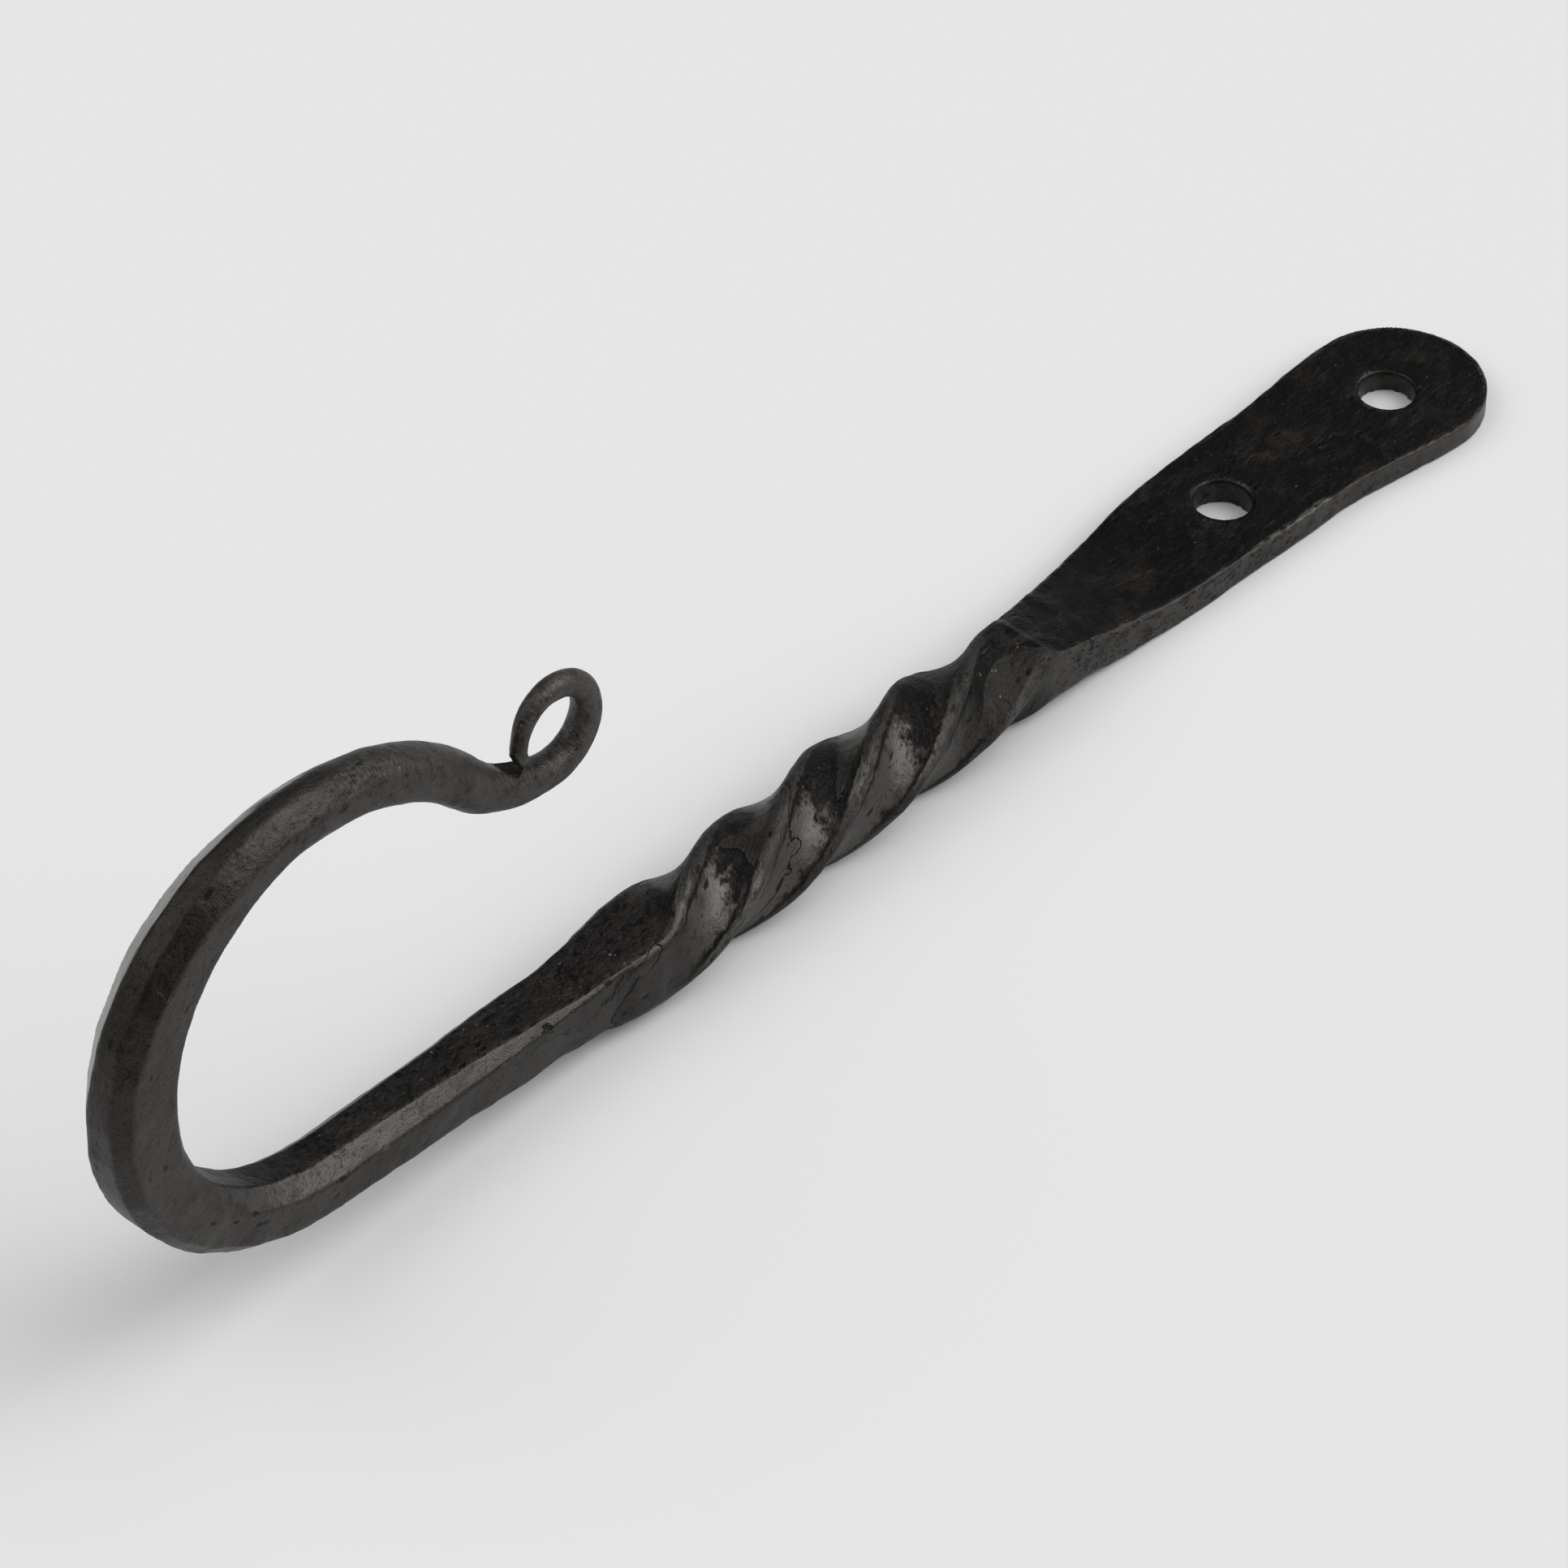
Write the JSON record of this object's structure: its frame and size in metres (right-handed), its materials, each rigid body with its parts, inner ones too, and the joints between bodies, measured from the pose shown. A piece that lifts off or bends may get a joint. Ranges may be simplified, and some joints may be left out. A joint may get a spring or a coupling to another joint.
{
  "type": "forged shutter holdback hook",
  "caption": "Black wrought-iron wall hook forged from square bar: drilled paddle plate, left-hand twisted shank, round hook and a small rolled eye at its tip.",
  "frame": {"origin": "on the wall face of the plate, halfway between the axes of the two screw holes", "axes": "+X runs up the wall along the shank, from the hook to the plate's round end; +Z points away from the wall, the way the hook curls; Y is sideways"},
  "size_m": [0.2173, 0.0215, 0.0636],
  "materials": {
    "blackened_iron": "hand-forged iron, black forging scale left on and oiled, worn brighter along the edges"
  },
  "bodies": {
    "root": {"forged_hook": "blackened_iron"}
  },
  "joints": []
}
